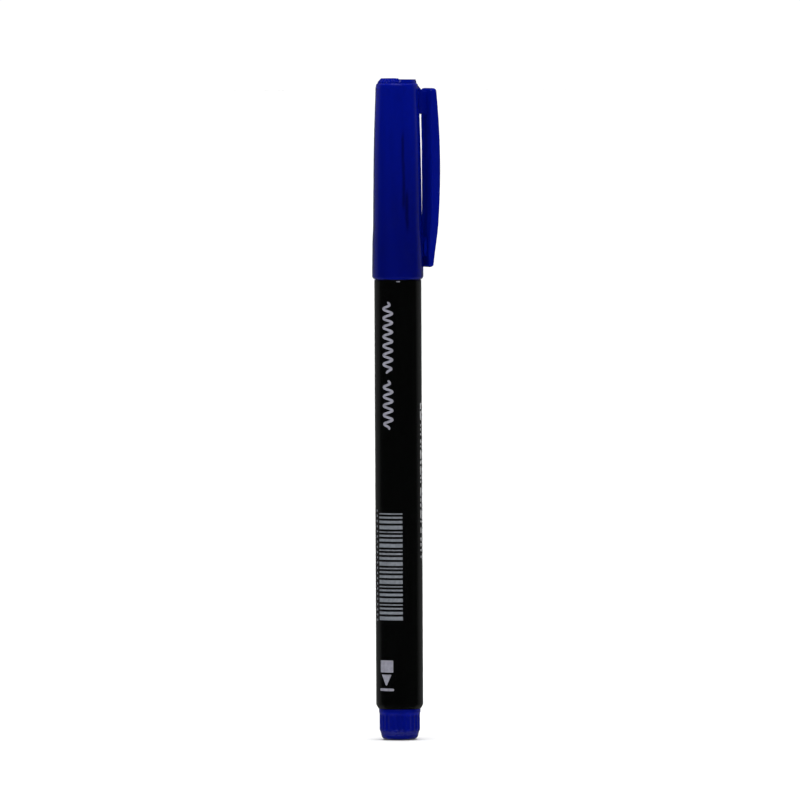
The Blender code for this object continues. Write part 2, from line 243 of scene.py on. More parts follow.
class Look:
    """One procedural material. Its textures are laid out in millimetres on the piece."""

    def __init__(self, name, **settings):
        self.material = bpy.data.materials.new(name)
        self.material.use_nodes = True
        self.tree = self.material.node_tree
        self.shader = self.tree.nodes["Principled BSDF"]
        for socket, value in settings.items():
            self.shader.inputs[socket.replace("_", " ")].default_value = value
        where = self.tree.nodes.new("ShaderNodeTexCoord").outputs["Object"]
        self.place = self.node("ShaderNodeVectorMath", where, operation="SCALE", Scale=1 / MM)

    def node(self, kind, *firsts, output=0, **settings):
        """Adds a node and gives its output. firsts fill its first sockets."""
        made = self.tree.nodes.new(kind)
        for name, value in settings.items():
            if hasattr(made, name):
                setattr(made, name, value)
            else:
                self.plug(made.inputs[name], value)
        for socket, value in zip(made.inputs, firsts):
            self.plug(socket, value)
        return made.outputs[output]

    def plug(self, socket, value):
        if isinstance(value, bpy.types.NodeSocket):
            self.tree.links.new(value, socket)
        else:
            socket.default_value = value

    def noise(self, size, stretch=(1, 1, 1), turn=(0, 0, 0), detail=2.0):
        """Noise with features of about that size; stretch divides it along each axis."""
        turned_place = self.node("ShaderNodeMapping", self.place, Rotation=[math.radians(a) for a in turn])
        shrunk = [1 / (size * s) for s in stretch]
        spread = self.node("ShaderNodeVectorMath", turned_place, shrunk, operation="MULTIPLY")
        return self.node("ShaderNodeTexNoise", spread, Scale=1.0, Detail=detail)

    def between(self, value, low, high, to_low=0.0, to_high=1.0):
        """Eases from to_low to to_high as the value goes from low to high, and holds beyond them."""
        return self.node(
            "ShaderNodeMapRange", value, low, high, to_low, to_high, interpolation_type="SMOOTHSTEP"
        )

    def math(self, operation, first, second):
        return self.node("ShaderNodeMath", first, second, operation=operation)

    def mixed(self, share, first, second):
        mix = self.tree.nodes.new("ShaderNodeMix")
        mix.data_type = "RGBA"
        for socket, value in zip((mix.inputs[0], mix.inputs[6], mix.inputs[7]), (share, first, second)):
            self.plug(socket, value)
        return mix.outputs[2]

    def tinted(self, tone, factor):
        """The tone made darker or lighter by a factor."""
        return self.node("ShaderNodeVectorMath", tone, operation="SCALE", Scale=factor)

    def height(self):
        """The textures' height up the pen, in millimetres."""
        return self.node("ShaderNodeSeparateXYZ", self.place, output=2)

    def hairlines(self, size, length, turn):
        """A mask of thin broken scratches, all running one way."""
        lines = self.noise(size, stretch=(1, 1, length), turn=turn, detail=1.0)
        broken = self.noise(4.0, turn=turn)
        return self.math("MULTIPLY", self.between(lines, 0.66, 0.72), self.between(broken, 0.45, 0.6))

    def streak(self, angle, low, high, width, fade=4):
        """A mask along the pen at one angle round it, faded out at its sides and ends."""
        side = (-math.sin(angle), math.cos(angle), 0)
        off = self.node("ShaderNodeVectorMath", self.place, side, operation="DOT_PRODUCT", output=1)
        out = (math.cos(angle), math.sin(angle), 0)
        near = self.node("ShaderNodeVectorMath", self.place, out, operation="DOT_PRODUCT", output=1)
        wander = self.between(self.noise(6.0), 0.3, 0.7, -0.15, 0.15)
        off = self.math("ABSOLUTE", self.math("ADD", off, wander), 0.0)
        mask = self.math("MULTIPLY", self.between(off, 0.0, width, 1.0, 0.0), self.between(near, 1.0, 3.0))
        height = self.height()
        rise = self.between(height, low, low + fade)
        fall = self.between(height, high - fade, high, 1.0, 0.0)
        return self.math("MULTIPLY", mask, self.math("MULTIPLY", rise, fall))

    def emboss(self, *layers):
        """Sets the bump from (texture, depth in millimetres) layers."""
        normal = None
        for texture, depth in layers:
            settings = {"Height": texture, "Distance": depth * MM, "Strength": 1.0}
            if normal:
                settings["Normal"] = normal
            normal = self.node("ShaderNodeBump", **settings)
        self.plug(self.shader.inputs["Normal"], normal)

    def paint(self, colour, roughness):
        self.plug(self.shader.inputs["Base Color"], colour)
        self.plug(self.shader.inputs["Roughness"], roughness)
        return self.material


def shade(colour, factor):
    """The colour made darker or lighter, with its alpha."""
    return (*(min(c * factor, 1.0) for c in colour), 1.0)


def gloss_plastic(name, colour, gloss, rubbed_lit_heights=(), painted_shade=None, shade_streaks=()):
    """Glossy moulded plastic: pigment drift along the flow, hazed patches, hairlines, rubbed edges lifted
    by a painted highlight, and painted shade.

    rubbed_lit_heights are (height, reach, added roughness): edges hazed by handling, and lifted lighter as
    a painted highlight.
    painted_shade is (colour, lowest height, highest height): painted shade, the colour at the lowest
    height, where the wall lies over something dark, which fades out by the highest.
    shade_streaks are (angle, lowest height, highest height, width): thin dark lines of painted shade.
    """
    look = Look(name, IOR=1.49)
    height = look.height()
    tone = colour
    # Painted shade: the colour darkens towards the lowest height
    if painted_shade:
        tone = look.mixed(look.between(height, *painted_shade[1:]), (*painted_shade[0], 1.0), (*colour, 1.0))
    drift = look.noise(2.2, stretch=(1, 1, 9), detail=3.0)
    tone = look.tinted(tone, look.between(drift, 0.3, 0.7, 0.93, 1.06))
    mottle = look.noise(0.45, detail=3.0)
    tone = look.tinted(tone, look.between(mottle, 0.55, 0.75, 1.0, 1.05))
    along = look.hairlines(0.13, 40, (0, 0, 0))
    slanted = look.hairlines(0.12, 22, (38, 12, 0))
    scratched = look.math("MAXIMUM", along, slanted)
    haze = look.between(look.noise(3.2, stretch=(1, 1, 2.5), detail=4.0), 0.42, 0.7, gloss, gloss + 0.05)
    roughness = look.math("ADD", haze, look.math("MULTIPLY", scratched, 0.05))
    for edge, reach, rub in rubbed_lit_heights:
        near = look.between(look.math("ABSOLUTE", look.math("SUBTRACT", height, edge), 0.0), reach, 0.0)
        worn = look.math("MULTIPLY", near, look.between(look.noise(0.8, detail=3.0), 0.2, 0.6, 0.5, 1.0))
        # Painted highlight: the rubbed edges are lifted lighter; the added roughness is real wear
        tone = look.tinted(tone, look.between(worn, 0.0, 1.0, 1.0, 1.2))
        roughness = look.math("ADD", roughness, look.math("MULTIPLY", worn, rub))
    # Painted shade: thin dark lines darken the colour along the cap
    for angle, low, high, width in shade_streaks:
        streak = look.streak(angle, low, high, width)
        tone = look.tinted(tone, look.between(streak, 0.0, 1.0, 1.0, 0.5))
    look.emboss((look.noise(1.6, detail=1.0), 0.003), (look.noise(0.2), 0.0004), (scratched, -0.0008))
    return look.paint(tone, roughness)


def matt_inside(name, colour):
    """The clip's matt inner face, left as it came off the mould's steel."""
    look = Look(name, Specular_IOR_Level=0.0)
    drift = look.noise(1.8, stretch=(1, 1, 5), detail=3.0)
    tone = look.tinted(colour, look.between(drift, 0.3, 0.7, 0.85, 1.1))
    grain = look.noise(0.12, detail=3.0)
    look.emboss((grain, 0.004), (look.noise(0.9), 0.003))
    return look.paint(tone, look.between(grain, 0.3, 0.7, 0.5, 0.65))


def barrel_plastic():
    """Black tube with a soft gloss: fine die lines, finger haze, short scuffs, a rubbed lower edge."""
    black = (0.0007, 0.0009, 0.0009)
    worn_grey = (0.014, 0.015, 0.015, 1.0)
    look = Look("barrel_black_satin", IOR=1.49)
    drift = look.noise(3.0, stretch=(1, 1, 9), detail=3.0)
    tone = look.mixed(look.between(drift, 0.35, 0.65), shade(black, 0.8), shade(black, 1.35))
    along = look.hairlines(0.13, 45, (0, 0, 0))
    slanted = look.hairlines(0.12, 18, (52, 20, 0))
    scratched = look.math("MAXIMUM", along, slanted)
    haze = look.between(look.noise(4.0, stretch=(1, 1, 2), detail=5.0), 0.4, 0.72, 0.1, 0.17)
    roughness = look.math("ADD", haze, look.math("MULTIPLY", scratched, 0.06))
    rub = look.between(look.height(), BARREL_LOW.z + 1.3, BARREL_LOW.z)
    worn = look.math("MULTIPLY", rub, look.between(look.noise(0.4, detail=4.0), 0.46, 0.62))
    tone = look.mixed(look.math("MULTIPLY", worn, 0.4), tone, worn_grey)
    die_lines = look.noise(0.22, stretch=(1, 1, 90), detail=2.0)
    look.emboss((look.noise(1.6, detail=1.0), 0.003), (die_lines, 0.0006), (scratched, -0.0008))
    return look.paint(tone, roughness)


def satin_plastic(name, dark, light, gloss, **settings):
    """Plain moulded plastic of the pieces under the cap, with a fine spark-eroded grain."""
    look = Look(name, **settings)
    drift = look.noise(2.2, stretch=(1, 1, 3), detail=3.0)
    tone = look.mixed(look.between(drift, 0.35, 0.65), (*dark, 1.0), (*light, 1.0))
    roughness = look.between(look.noise(1.2, detail=4.0), 0.35, 0.7, gloss, gloss + 0.14)
    look.emboss((look.noise(0.14, detail=3.0), 0.004), (look.noise(0.9), 0.004))
    return look.paint(tone, roughness)


def bonded_fibre(name, dry, inked, inked_above, reach):
    """Fibres bonded lengthwise, soaked with ink above a height."""
    look = Look(name, Specular_IOR_Level=0.25, Sheen_Weight=0.15, Sheen_Roughness=0.6)
    strands = look.noise(0.07, stretch=(1, 1, 60), detail=3.0)
    clumps = look.noise(0.5, stretch=(1, 1, 8), detail=3.0)
    wet = look.math("ADD", look.height(), look.between(clumps, 0.3, 0.7, -reach / 2, reach / 2))
    wet = look.between(wet, inked_above - reach / 2, inked_above + reach / 2)
    tone = look.mixed(wet, (*dry, 1.0), (*inked, 1.0))
    tone = look.mixed(look.between(strands, 0.5, 0.66, 0.0, 0.55), tone, shade(inked, 0.45))
    roughness = look.between(clumps, 0.3, 0.7, 0.72, 0.95)
    look.emboss((strands, 0.02), (clumps, 0.02))
    return look.paint(tone, roughness)


def clear_film():
    """Thin wrapped film, slightly creased and clouded."""
    look = Look("reservoir_film_clear", IOR=1.5, Transmission_Weight=0.85)
    cloud = look.noise(2.0, stretch=(1, 1, 4), detail=4.0)
    tone = look.mixed(look.between(cloud, 0.4, 0.7), (0.78, 0.82, 0.87, 1.0), (0.62, 0.68, 0.78, 1.0))
    roughness = look.between(cloud, 0.35, 0.7, 0.08, 0.25)
    look.emboss((look.noise(0.8, stretch=(1, 1, 12)), 0.02), (look.noise(0.2), 0.002))
    return look.paint(tone, roughness)


def printed_ink(name, colour, cover=0.62):
    """Screen-printed ink: slightly raised, matt, with pinholes and thin rubbed places."""
    look = Look(name, IOR=1.45)
    rubbed = look.between(look.noise(1.4, detail=4.0), cover, cover + 0.12, 0.0, 0.55)
    pinholes = look.between(look.noise(0.09, detail=2.0), 0.7, 0.76, 0.0, 0.7)
    patchy = look.between(look.noise(0.6, detail=3.0), 0.35, 0.7)
    tone = look.mixed(patchy, shade(colour, 0.86), shade(colour, 1.1))
    tone = look.mixed(look.math("MAXIMUM", rubbed, pinholes), tone, shade(colour, 0.18))
    roughness = look.between(patchy, 0.0, 1.0, 0.42, 0.58)
    look.emboss((look.noise(0.1, detail=3.0), 0.004))
    return look.paint(tone, roughness)


def paper_floor():
    """Plain pale paper with a faint grain."""
    look = Look("pale_floor", Specular_IOR_Level=0.1)
    grain = look.noise(1.5, detail=4.0)
    tone = look.mixed(look.between(grain, 0.3, 0.7), (0.86, 0.86, 0.86, 1.0), (0.9, 0.9, 0.9, 1.0))
    return look.paint(tone, look.between(grain, 0.3, 0.7, 0.8, 0.9))


# Pen


def make_barrel():
    """The tube. Its lip is drawn up to the cap's mouth, so that no gap shows between them."""
    rim, chamfer_in, chamfer_up = 0.1, 0.45, 0.8
    lip_high, lip_bore = MOUTH - 0.03, SECTION_RADIUS + 0.06
    outline = rounded([
        (lip_bore, lip_high, 0.03),
        (BARREL_RADIUS - rim, lip_high, 0.04),
        (BARREL_RADIUS, lip_high - rim, 0.05),
        (BARREL_RADIUS, BARREL_LOW.z + chamfer_up, 0.5),
        (BARREL_RADIUS - chamfer_in, BARREL_LOW.z, 0.07),
        (BARREL_BORE + 0.15, BARREL_LOW.z, 0.06),
        (BARREL_BORE, BARREL_LOW.z + 0.2, 0.1),
        (BARREL_BORE, BARREL_HIGH.z, 0.05),
        (lip_bore, BARREL_HIGH.z, 0.03),
    ])
    barrel = turned("barrel_tube", outline, barrel_plastic())
    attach(barrel, "pen_body")
    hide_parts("barrel")


def make_end_plug():
    """The plug at the foot: a fluted grip, a collar against the barrel, and a hollow spigot inside it."""
    collar_radius, cavity_floor, foot_round = PLUG_HIGH.x, 5.0, 1.15
    wall = [(PLUG_RADIUS, z) for z in spaced(FLUTES_HIGH + 0.1, FLUTES_LOW, 22)]
    outline = rounded([
        (0.0, cavity_floor),
        (SPIGOT_BORE, cavity_floor, 0.1),
        (SPIGOT_BORE, PLUG_HIGH.z, 0.05),
        (SPIGOT_RADIUS - 0.2, PLUG_HIGH.z),
        (SPIGOT_RADIUS, PLUG_HIGH.z - 0.5),
        (SPIGOT_RADIUS, BARREL_LOW.z - GAP),
        (collar_radius, BARREL_LOW.z - GAP, 0.08),
        (collar_radius, FLUTES_HIGH + 0.3, 0.08),
        *wall,
        (PLUG_RADIUS, 2.15, 0.25),
        (3.95, 1.35, 0.5),
        (PLUG_FACE_RADIUS + 0.58, 0.0, foot_round),
        (0.0, 0.0),
    ])

    def fluted(index, angle):
        radius, height = outline[index]
        if radius < PLUG_RADIUS - 0.05 or height > FLUTES_HIGH + 0.2:
            return radius, height
        depth = FLUTE_DEPTH * smooth_step((FLUTES_HIGH - height) / 0.35)
        depth *= smooth_step((height - 1.9) / 0.5)
        valley = (0.5 - 0.5 * math.cos(FLUTES * (angle - CAMERA_AZIMUTH))) ** 0.8
        return radius - depth * valley, height

    plug = turned("end_plug_fluted", outline, BLUE_PLUG, closed=False, steps=FLUTES * 14, moved=fluted)
    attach(plug, "pen_body")
    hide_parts("end_plug")


def make_front_section():
    """The nib holder: a spigot in the barrel, a snap ring for the cap, a cone and a stepped nose."""
    snap_low, snap_high, snap_radius = 100.2, 100.9, SECTION_HIGH.x
    top = SECTION_HIGH.z
    outline = rounded([
        (1.5, top, 0.08),
        (1.95, top - 0.25, 0.12),
        (2.1, top - 1.6, 0.3),
        (NOSE_RADIUS - 0.2, top - 2.2, 0.15),
        (NOSE_RADIUS, top - 2.6, 0.15),
        (NOSE_RADIUS, 112.9, 0.2),
        (2.95, 112.5, 0.2),
        (4.15, 109.4, 0.5),
        (SECTION_RADIUS, 108.4, 0.4),
        (SECTION_RADIUS, snap_high + 0.4, 0.25),
        (snap_radius, snap_high, 0.15),
        (snap_radius, snap_low, 0.15),
        (SECTION_RADIUS, snap_low - 0.4, 0.25),
        (SECTION_RADIUS, BARREL_HIGH.z + GAP, 0.06),
        (SPIGOT_RADIUS, BARREL_HIGH.z + GAP),
        (SPIGOT_RADIUS, 88.0, 0.1),
        (SPIGOT_RADIUS - 0.2, SECTION_LOW.z, 0.08),
        (SPIGOT_BORE, SECTION_LOW.z, 0.05),
        (SPIGOT_BORE, CORE_HIGH.z + GAP),
        (NIB_BORE, CORE_HIGH.z + 1.2),
        (NIB_BORE, top, 0.06),
    ])
    dark, light = (0.004, 0.004, 0.0045), (0.008, 0.008, 0.009)
    black = satin_plastic("section_black_satin", dark, light, 0.34, IOR=1.5)
    holder = turned("nib_holder", outline, black)
    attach(holder, "pen_body")
    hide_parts("front_section")


def make_nib():
    """The fibre rod, with a small ball at its tip and a taper down to its full radius."""
    tip, root = NIB_HIGH.z, NIB_LOW.z
    taper = [(0.4, tip - 0.3), (0.62, tip - 0.8, 0.6), (NIB_RADIUS, tip - 3.4, 1.5), (NIB_RADIUS, 110)]
    outline = [
        (0.0, tip),
        *arc((0.0, tip - 0.42), 0.42, 84, 20, 8),
        *rounded(taper)[1:-1],
        *[(NIB_RADIUS, z) for z in spaced(119.0, root + 0.4, 12)],
        (NIB_RADIUS - 0.3, root),
        (0.0, root),
    ]
    dry, inked = (0.12, 0.15, 0.36), (0.008, 0.014, 0.16)
    fibre = bonded_fibre("nib_fibre_inked", dry, inked, tip - 2.5, 3.0)
    nib = turned("fibre_nib", outline, fibre, closed=False, steps=96)
    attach(nib, "pen_body")
    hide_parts("writing_nib")


def paint_inner_nodes():
    """The reservoir, its film and the tube keep their CAD shapes."""
    core_blue = bonded_fibre("core_fibre_inked", (0.3, 0.34, 0.55), (0.03, 0.05, 0.35), 30.0, 40.0)
    natural = satin_plastic(
        "breather_natural", (0.66, 0.68, 0.67), (0.74, 0.76, 0.74), 0.4, IOR=1.5, Transmission_Weight=0.25
    )
    looks = {"reservoir_core": core_blue, "reservoir_film": clear_film(), "breather_tube": natural}
    for name, look in looks.items():
        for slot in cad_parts[name].material_slots:
            slot.material = look


# Cap


def make_cap_shell():
    """The tapered shell: a little swollen above the waist, and flared into a band at the mouth."""
    lip, swelling, band_start = 0.75, 0.17, WAIST_RADIUS + 0.03
    band = []
    for share in spaced(0.0, 1.0, 12):
        radius = band_start + (BAND_RADIUS - band_start) * smooth_step(share)
        band.append((radius, BAND_HIGH + (BAND_LOW - BAND_HIGH) * share))
    top = [
        (INSERT_HOLE, CAP_TOP, 0.05),
        (SHOULDER_RADIUS - 0.43, CAP_TOP, 0.06),
        (SHOULDER_RADIUS - 0.16, CAP_TOP - 0.2, 0.2),
        (SHOULDER_RADIUS, CAP_TOP - 1.1, 0.8),
    ]
    side_top = CAP_TOP - 2.2
    side = []
    for share in spaced(0.0, 1.0, 16):
        wider = (WAIST_RADIUS - SHOULDER_RADIUS) * share
        wider += swelling * math.sin(math.pi * share) * (1 - share / 2)
        side.append((SHOULDER_RADIUS + 0.02 + wider * 0.98, side_top + (WAIST_HEIGHT - side_top) * share))
    inner = [
        (CAP_BORE, MOUTH, 0.08),
        (CAP_BORE, 99.4),
        (CAP_BORE + 0.08, 99.8),
        (CAP_BORE + 0.08, 101.3),
        (CAP_BORE - 0.04, 101.8),
        (CAP_BORE - 0.05, 108.8),
        (4.15, 111.5, 0.5),
        (3.9, 118.0),
        (3.75, CAP_FLOOR, 0.3),
        (INSERT_HOLE, CAP_FLOOR, 0.05),
    ]
    mouth = arc((MOUTH_RADIUS - lip, MOUTH + lip), lip, 0, -90, 14)
    outline = rounded([*top, *side, *band, (MOUTH_RADIUS, 99.6), *mouth, *inner])
    cap = turned("cap_shell", outline, BLUE_CAP)
    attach(cap, "cap")
    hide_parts("cap_body")


def upright_section(x, half, low, high, corner):
    """A rounded rectangle across the bridge, at one distance from the pen's axis."""
    ring = arc((half - corner, high - corner), corner, 0, 90, ROUND_STEPS)
    ring += arc((-half + corner, high - corner), corner, 90, 180, ROUND_STEPS)
    ring += arc((-half + corner, low + corner), corner, 180, 270, ROUND_STEPS)
    ring += arc((half - corner, low + corner), corner, 270, 360, ROUND_STEPS)
    return [(x, y, z) for y, z in ring]


def make_clip_bridge():
    """The short web from the cap to the clip's head, flared where it meets each of them."""
    inner_x, outer_x, half, flare = 4.1, 7.2, 0.78, 0.42
    top_in, top_out, low_in, low_out = 138.0, 136.7, 132.1, 131.45
    rings = []
    for share in spaced(0.0, 1.0, 25):
        spread = flare * (smooth_step(1 - share / 0.3) ** 2 + smooth_step((share - 0.75) / 0.25) ** 2)
        x = inner_x + (outer_x - inner_x) * share
        high = top_in + (top_out - top_in) * smooth_step(share / 0.55) + 0.1 * spread
        low = low_in + (low_out - low_in) * share - 0.6 * spread
        rings.append(upright_section(x, half + spread, low, high, 0.25))
    shape = bmesh.new()
    add_skin(shape, rings, capped=True)
    bridge = finish_mesh("clip_bridge", shape, BLUE_CAP)
    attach(bridge, "cap")


def clip_outer_x(z):
    """The clip's bowed outer face."""
    low, high, bow = (7.42, 101.0), (7.87, 136.6), 1.0
    share = (z - low[1]) / (high[1] - low[1])
    return low[0] + (high[0] - low[0]) * share + bow * 4 * share * (1 - share)


def clip_inner_x(z):
    """The clip's inner face: nearest the cap at the foot, furthest along the arm."""
    foot, arm, head = 6.15, 6.6, 6.5
    away = (arm - foot) * smooth_step((z - 104.5) / 7.0)
    return foot + away - (arm - head) * smooth_step((z - 124) / 7.5)


def end_inset(distance, rounding):
    """How far a rounded end has drawn in, at a distance from its tip."""
    if distance >= rounding:
        return 0.0
    return rounding - math.sqrt(rounding**2 - (rounding - distance) ** 2)


def clip_half_width(z):
    """Narrower towards the foot, with rounded corners at both ends."""
    half = CLIP_FOOT_HALF + (CLIP_HALF - CLIP_FOOT_HALF) * smooth_step((z - 101.5) / 7)
    return half - end_inset(CLIP_CREST - z + 0.1, 0.95) - end_inset(z - CLIP_FOOT + 0.1, 0.7)


def matt_inner_faces(clip):
    """Gives the faces that look at the cap the matt material, whose blue is painted lighter."""
    clip.data.materials.append(BLUE_INSIDE_PAINTED_LIGHT)
    for face in clip.data.polygons:
        if face.normal.x < -0.8:
            face.material_index = 1


def make_clip():
    """One moulding from crest to foot; it bends just below the bridge."""
    ends = [CLIP_END_ROUND * (1 - math.cos(math.radians(a))) for a in range(0, 91, 9)]
    heights = [CLIP_FOOT + e for e in ends]
    heights += spaced(CLIP_FOOT + CLIP_END_ROUND, CLIP_CREST - CLIP_END_ROUND, 76)[1:-1]
    heights += [CLIP_CREST - e for e in reversed(ends)]
    rings = []
    for z in heights:
        inset = end_inset(z - CLIP_FOOT, CLIP_END_ROUND) + end_inset(CLIP_CREST - z, CLIP_END_ROUND)
        edge = max(0.2 - inset * 0.3, 0.08)
        inner, outer, half = clip_inner_x(z) + inset, clip_outer_x(z) - inset, clip_half_width(z) - inset
        rings.append(section(inner, outer, half, edge, edge, crown=0.05, height=z))
    shape = bmesh.new()
    add_skin(shape, rings, capped=True)
    clip = finish_mesh("clip_moulding", shape, BLUE_CLIP)
    matt_inner_faces(clip)
    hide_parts("pocket_clip")
    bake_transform(clip)


def make_clip_pad():
    """The low pad inside the foot that grips a pocket's edge."""
    low, high, half = 101.4, 106.4, 1.1
    root, crest, buried = 6.3, 5.52, 6.6
    rings = []
    for share in spaced(0.0, 1.0, 25):
        z = low + (high - low) * share
        rise = smooth_step(share / 0.3) * smooth_step((1 - share) / 0.45)
        inner, width = root - (root - crest) * rise, half * (0.75 + 0.25 * rise)
        rings.append(section(inner, buried, width, 0.12, 0.05, crown=0.0, height=z))
    shape = bmesh.new()
    add_skin(shape, rings, capped=True)
    pad = finish_mesh("clip_grip_pad", shape, BLUE_INSIDE_PAINTED_LIGHT)
    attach(pad, "clip")


def make_end_insert():
    """The cap's end plug: its ribbed half stands a little above the smooth one."""
    base, top = CAP_TOP + 0.01, INSERT_HIGH.z
    smooth_top, floor = top - 0.25, top - 0.65
    bore = [
        (INSERT_HOLE - GAP, base),
        (INSERT_HOLE - GAP, INSERT_LOW.z + 0.2, 0.05),
        (INSERT_HOLE - GAP - 0.2, INSERT_LOW.z, 0.05),
        (VENT_RADIUS, INSERT_LOW.z),
    ]
    dish = [(VENT_RADIUS, floor, 0.12), (1.3, floor, 0.1)]
    smooth = rounded([
        *dish, (1.6, smooth_top, 0.1), (2.2, smooth_top, 0.05), (INSERT_RADIUS - 0.14, smooth_top, 0.14),
        (INSERT_RADIUS, base + 0.2, 0.05), (INSERT_RADIUS + 0.02, base, 0.04), *bore,
    ])
    ribbed = rounded([
        *dish, (1.6, smooth_top, 0.05), (2.0, top, 0.12), (INSERT_RADIUS - 0.72, top, 0.12),
        (INSERT_RADIUS - 0.04, base + 0.3, 0.08), (INSERT_RADIUS + 0.02, base, 0.04), *bore,
    ])
    rim_radius = INSERT_RADIUS - 1.2

    def shaped(index, angle):
        """Ribbed for half a turn from RIBBED_FROM and smooth for the other, with a short ramp between."""
        turns = (angle - RIBBED_FROM) / math.pi % 2
        ramp = 0.01
        raised = smooth_step((turns + ramp) / (2 * ramp)) * smooth_step((1 + ramp - turns) / (2 * ramp))
        raised += smooth_step((turns - 2 + ramp) / (2 * ramp))
        (r0, z0), (r1, z1) = smooth[index], ribbed[index]
        radius, height = r0 + (r1 - r0) * raised, z0 + (z1 - z0) * raised
        if radius > rim_radius and height > base + 0.02:
            valley = (0.5 - 0.5 * math.cos(math.tau * angle / RIB_PITCH)) ** 1.5
            radius -= RIB_DEPTH * valley * raised
        return radius, height

    insert = turned("end_insert_ribbed", smooth, BLUE_INSERT, steps=480, moved=shaped)
    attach(insert, "cap")
    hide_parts("cap_end_insert")


def make_cap_liner():
    """The soft cup in the cap that closes round the holder's nose."""
    outer, inner, end, floor = LINER_HIGH.x, NOSE_RADIUS + 0.15, LINER_LOW.z, 127.0
    outline = rounded([
        (0.0, floor + 0.8),
        (inner, floor + 0.8, 0.3),
        (inner, LINER_HIGH.z, 0.1),
        (outer, LINER_HIGH.z, 0.1),
        (outer, end + 0.5, 0.3),
        (outer - 0.25, end, 0.05),
        (inner + 0.2, end, 0.05),
        (inner, end + 0.5, 0.2),
        (inner, floor, 0.4),
        (0.0, floor),
    ])
    white = satin_plastic(
        "liner_natural", (0.66, 0.68, 0.66), (0.74, 0.76, 0.73), 0.42,
        IOR=1.5, Subsurface_Weight=0.2, Subsurface_Scale=0.001,
    )
    liner = turned("cap_liner", outline, white, closed=False)
    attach(liner, "cap")
    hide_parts("cap_inner_liner")


# Prints: generic marks of ink, each a thin closed sheet that hugs the barrel


def on_barrel(across, height, lift):
    """A point on the barrel: across is measured round it from the print line."""
    angle = PRINT_LINE + across / BARREL_RADIUS
    radius = BARREL_RADIUS + lift
    return radius * math.cos(angle), radius * math.sin(angle), height


def add_stroke(shape, path, widths):
    """One inked stroke along a path of (across, height) points, with a width at each."""
    lanes = max(1, math.ceil(max(widths) / PRINT_LANE))
    rings = []
    for index, (here, width) in enumerate(zip(path, widths)):
        before, after = path[max(index - 1, 0)], path[min(index + 1, len(path) - 1)]
        along = (Vector(after) - Vector(before)).normalized()
        side = Vector((-along.y, along.x)) * width / 2
        row = [Vector(here) + side * (1 - 2 * i / lanes) for i in range(lanes + 1)]
        upper = [on_barrel(p.x, p.y, PRINT_LIFT) for p in row]
        lower = [on_barrel(p.x, p.y, -PRINT_ROOT) for p in reversed(row)]
        rings.append(upper + lower)
    add_skin(shape, rings, capped=True)


def round_ended(start, end, width, steps=12):
    """The path and widths of a straight stroke with round ends."""
    start, end = Vector(start), Vector(end)
    along = (end - start).normalized()
    cap = [width / 2 * (1 - math.cos(math.radians(a))) for a in (8, 25, 45, 65, 90)]
    length = (end - start).length
    straight = spaced(width / 2, length - width / 2, steps)[1:-1]
    reaches = cap + straight + [length - c for c in reversed(cap)]
    path, widths = [], []
    for reach in reaches:
        inside = min(reach, length - reach, width / 2)
        path.append(tuple(start + along * reach))
        widths.append(2 * math.sqrt(max((width / 2) ** 2 - (width / 2 - inside) ** 2, 1e-6)))
    return path, widths


def finish_print(name, shape, look):
    mark = finish_mesh(name, shape, look, sharp=60)
    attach(mark, "pen_body")


def make_wave_print():
    """A sample of a drawn line: two runs of a wave, read down the barrel."""
    middle, swing, pitch, stroke = -2.3, 1.05, 1.95, 0.52
    shape = bmesh.new()
    for high, low in ((92.4, 77.3), (75.9, 65.5)):
        count = round((high - low) / pitch * 16)
        path = []
        for i in range(count + 1):
            z = high - (high - low) * i / count
            calm = smooth_step((z - low) / 1.5) * smooth_step((high - z) / 1.5)
            wave = math.sin(math.tau * (high - z) / pitch)
            path.append((middle + swing * (0.25 + 0.75 * calm) * wave, z))
        taper = [stroke * share for share in (0.35, 0.75)]
        add_stroke(shape, path, taper + [stroke] * (count - 3) + taper[::-1])
    finish_print("print_wave_sample", shape, GREY_INK)


def make_stripe_print():
    """A block of stripes that steps through four line weights again and again."""
    left, right, low, high = -4.85, 0.75, 24.9, 47.9
    weights = (0.24, 0.36, 0.52, 0.74)
    space = 0.42
    cycle = sum(weights) + space * len(weights)
    cycles = round((high - low) / cycle)
    stretch = (high - low) / (cycles * cycle)
    shape = bmesh.new()
    z = high
    for _ in range(cycles):
        for weight in weights:
            z -= weight * stretch / 2
            path = [(across, z) for across in spaced(left, right, 26)]
            add_stroke(shape, path, [weight * stretch] * len(path))
            z -= (weight / 2 + space) * stretch
    finish_print("print_line_weights", shape, PALE_INK)


def make_dot_print():
    """A row of small dots beside the stripes."""
    across, low, high, dots, width = -5.75, 25.4, 48.4, 22, 0.42
    shape = bmesh.new()
    for z in spaced(low, high, dots):
        add_stroke(shape, *round_ended((across, z - width * 0.6), (across, z + width * 0.6), width, 4))
    finish_print("print_dot_row", shape, PALE_INK)


def make_tip_print():
    """A small picture of a marker's tip drawing a short line."""
    middle, line_height, line_reach = -2.95, 10.7, 1.8
    tip, shoulder, body_low, body_high = 11.6, 13.9, 14.35, 16.9
    shape = bmesh.new()
    cone = [tip + (shoulder - tip) * i / 10 for i in range(11)]
    cone_widths = [0.25 + 2.2 * (z - tip) / (shoulder - tip) for z in cone]
    add_stroke(shape, [(middle, z) for z in cone], cone_widths)
    body = spaced(body_low, body_high, 10)
    add_stroke(shape, [(middle, z) for z in body], [3.2] * len(body))
    line = (middle - line_reach, line_height), (middle + line_reach, line_height)
    add_stroke(shape, *round_ended(*line, 0.55, 14))
    finish_print("print_tip_mark", shape, GREY_INK)


